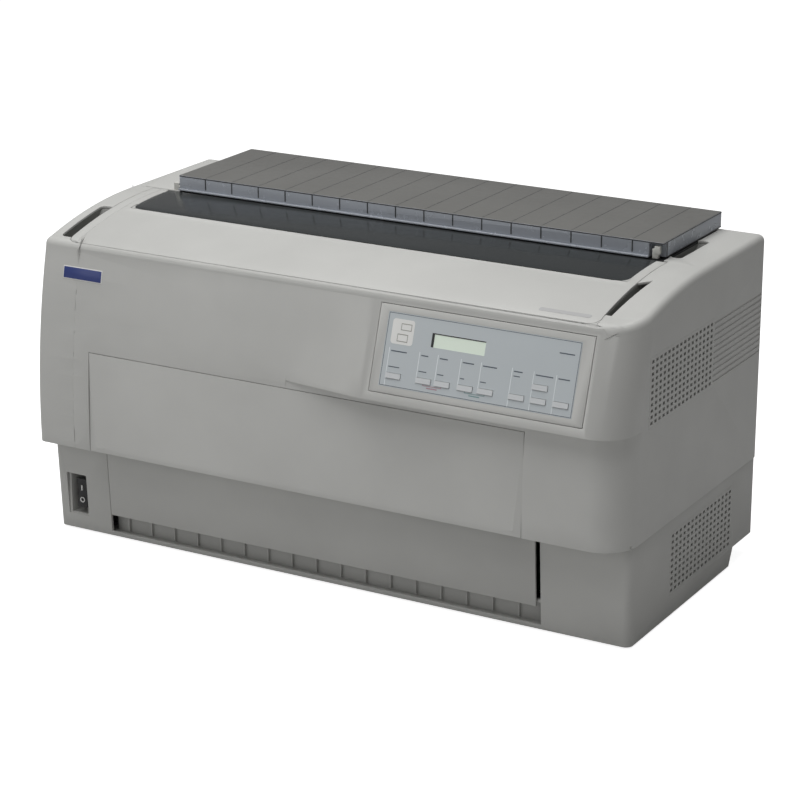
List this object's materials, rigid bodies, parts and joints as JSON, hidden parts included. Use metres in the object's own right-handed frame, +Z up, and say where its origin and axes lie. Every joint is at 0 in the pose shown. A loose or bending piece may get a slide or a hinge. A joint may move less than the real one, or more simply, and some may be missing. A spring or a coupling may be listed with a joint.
{
  "type": "dot matrix printer",
  "caption": "Wide heavy-duty impact printer with hinged covers, smoked paper guide, sloping control panel and stepped lower case.",
  "frame": {"origin": "centre of the bounding box at the level of the feet", "axes": "+X to the right seen from the front, -Y towards the front, +Z up"},
  "size_m": [0.7, 0.382, 0.374],
  "materials": {
    "casing": "fine texture",
    "casing_lower": "fine texture",
    "smoked_window": "smoked",
    "smoked_guide": "smoked transparent",
    "panel_film": "satin film",
    "display": "satin",
    "button_grey": "satin",
    "black_plastic": "satin",
    "white_plastic": "satin",
    "sheet_steel": "zinc plated",
    "ground_steel": "ground",
    "platen_rubber": "matt",
    "belt_rubber": "matt",
    "foot_rubber": "matt",
    "carriage_plastic": "satin",
    "head_aluminium": "cast",
    "motor_steel": "satin",
    "board_green": "lacquered",
    "ink_fabric": "inked"
  },
  "bodies": {
    "case": {"base_pan": "sheet_steel", "carriage_motor": "motor_steel", "control_panel_housing": "casing", "fan_housing": "black_plastic", "feed_motor": "motor_steel", "front_entry_guide": "casing_lower", "guide_pivot_left": "white_plastic", "guide_pivot_right": "white_plastic", "guide_rod_front": "ground_steel", "guide_rod_rear": "ground_steel", "ink_ribbon": "ink_fabric", "lcd_display": "display", "lower_case": "casing_lower", "main_board": "board_green", "mains_inlet": "black_plastic", "panel_overlay": "panel_film", "paper_exit_tray": "black_plastic", "parallel_port": "black_plastic", "power_supply": "sheet_steel", "rear_paper_entry": "black_plastic", "ribbon_cartridge": "black_plastic", "rubber_feet": "foot_rubber", "serial_port": "black_plastic", "side_frame_left": "sheet_steel", "side_frame_right": "sheet_steel", "side_grille_lower": "casing_lower", "side_grille_upper": "casing", "switch_bezel": "casing_lower", "timing_belt": "belt_rubber", "tractor_left": "black_plastic", "tractor_right": "black_plastic", "upper_case": "casing"},
    "printer_cover": {"printer_cover": "casing", "cover_window": "smoked_window"},
    "paper_guide": {"paper_guide": "smoked_guide"},
    "front_cover": {"front_cover": "casing"},
    "lower_front_cover": {"lower_front_cover": "casing_lower"},
    "power_rocker": {"power_rocker": "black_plastic"},
    "platen": {"platen_shaft": "ground_steel", "platen_roller": "platen_rubber", "platen_gear": "white_plastic"},
    "feed_pinion": {"feed_pinion": "white_plastic"},
    "tractor_shaft": {"tractor_shaft": "ground_steel"},
    "carriage": {"carriage": "carriage_plastic", "print_head": "head_aluminium"},
    "drive_pulley": {"drive_pulley": "white_plastic"},
    "idler_pulley": {"idler_pulley": "white_plastic"},
    "tractor_lid_left": {"tractor_lid_left": "black_plastic"},
    "tractor_lid_right": {"tractor_lid_right": "black_plastic"},
    "fan_rotor": {"fan_rotor": "black_plastic"},
    "button_1": {"button_1": "button_grey"},
    "button_2": {"button_2": "button_grey"},
    "button_3": {"button_3": "button_grey"},
    "button_4": {"button_4": "button_grey"},
    "button_5": {"button_5": "button_grey"},
    "button_6": {"button_6": "button_grey"},
    "button_7": {"button_7": "button_grey"},
    "button_8": {"button_8": "button_grey"},
    "button_9": {"button_9": "button_grey"}
  },
  "joints": [
    {"name": "printer_cover_hinge", "type": "hinge", "parent": "case", "child": "printer_cover", "pos_m": [0, 0.004, 0.3505], "axis": [-1, 0, 0], "range_deg": [0, 60]},
    {"name": "paper_guide_hinge", "type": "hinge", "parent": "case", "child": "paper_guide", "pos_m": [0, 0.013, 0.36], "axis": [1, 0, 0], "range_deg": [0, 55]},
    {"name": "front_cover_hinge", "type": "hinge", "parent": "case", "child": "front_cover", "pos_m": [0, -0.17748, 0.115], "axis": [1, 0, 0], "range_deg": [0, 90]},
    {"name": "lower_front_cover_hinge", "type": "hinge", "parent": "case", "child": "lower_front_cover", "pos_m": [0, -0.14963, 0.0325], "axis": [1, 0, 0], "range_deg": [0, 80]},
    {"name": "power_rocker_pivot", "type": "hinge", "parent": "case", "child": "power_rocker", "pos_m": [0, -0.133, 0.044], "axis": [1, 0, 0], "range_deg": [-8, 8]},
    {"name": "platen_spin", "type": "hinge", "parent": "case", "child": "platen", "pos_m": [0, -0.034, 0.288], "axis": [1, 0, 0], "continuous": true},
    {"name": "feed_pinion_spin", "type": "hinge", "parent": "case", "child": "feed_pinion", "pos_m": [0, 0.00812, 0.288], "axis": [1, 0, 0], "continuous": true},
    {"name": "tractor_shaft_spin", "type": "hinge", "parent": "case", "child": "tractor_shaft", "pos_m": [0, -0.112, 0.168], "axis": [1, 0, 0], "continuous": true},
    {"name": "carriage_slide", "type": "slide", "parent": "case", "child": "carriage", "axis": [1, 0, 0], "range_m": [-0.24, 0.24]},
    {"name": "drive_pulley_spin", "type": "hinge", "parent": "case", "child": "drive_pulley", "pos_m": [-0.292, -0.098, 0.236], "axis": [0, 0, 1], "range_deg": [-1380, 1380]},
    {"name": "idler_pulley_spin", "type": "hinge", "parent": "case", "child": "idler_pulley", "pos_m": [0.274, -0.098, 0.236], "axis": [0, 0, 1], "range_deg": [-1380, 1380]},
    {"name": "tractor_lid_left_hinge", "type": "hinge", "parent": "case", "child": "tractor_lid_left", "pos_m": [-0.2115, -0.125, 0.2], "axis": [0, 0, -1], "range_deg": [0, 100]},
    {"name": "tractor_lid_right_hinge", "type": "hinge", "parent": "case", "child": "tractor_lid_right", "pos_m": [0.1715, -0.125, 0.2], "axis": [0, 0, 1], "range_deg": [0, 100]},
    {"name": "fan_spin", "type": "hinge", "parent": "case", "child": "fan_rotor", "pos_m": [0.33, 0.0195, 0.0597], "axis": [1, 0, 0], "continuous": true},
    {"name": "button_1_press", "type": "slide", "parent": "case", "child": "button_1", "axis": [0, 0.9525, -0.3044], "range_m": [0, 0.0006], "stiffness_N_per_m": 300},
    {"name": "button_2_press", "type": "slide", "parent": "case", "child": "button_2", "axis": [0, 0.9525, -0.3044], "range_m": [0, 0.0006], "stiffness_N_per_m": 300},
    {"name": "button_3_press", "type": "slide", "parent": "case", "child": "button_3", "axis": [0, 0.9525, -0.3044], "range_m": [0, 0.0006], "stiffness_N_per_m": 300},
    {"name": "button_4_press", "type": "slide", "parent": "case", "child": "button_4", "axis": [0, 0.9525, -0.3044], "range_m": [0, 0.0006], "stiffness_N_per_m": 300},
    {"name": "button_5_press", "type": "slide", "parent": "case", "child": "button_5", "axis": [0, 0.9525, -0.3044], "range_m": [0, 0.0006], "stiffness_N_per_m": 300},
    {"name": "button_6_press", "type": "slide", "parent": "case", "child": "button_6", "axis": [0, 0.9525, -0.3044], "range_m": [0, 0.0006], "stiffness_N_per_m": 300},
    {"name": "button_7_press", "type": "slide", "parent": "case", "child": "button_7", "axis": [0, 0.9525, -0.3044], "range_m": [0, 0.0006], "stiffness_N_per_m": 300},
    {"name": "button_8_press", "type": "slide", "parent": "case", "child": "button_8", "axis": [0, 0.9525, -0.3044], "range_m": [0, 0.0006], "stiffness_N_per_m": 300},
    {"name": "button_9_press", "type": "slide", "parent": "case", "child": "button_9", "axis": [0, 0.9525, -0.3044], "range_m": [0, 0.0006], "stiffness_N_per_m": 300}
  ],
  "couplings": [
    {"joint": "feed_pinion_spin", "follows": "platen_spin", "ratio": -2.5},
    {"joint": "tractor_shaft_spin", "follows": "platen_spin", "ratio": 2},
    {"joint": "drive_pulley_spin", "follows": "carriage_slide", "rad_per_m": 99.5},
    {"joint": "idler_pulley_spin", "follows": "carriage_slide", "rad_per_m": 99.5}
  ]
}
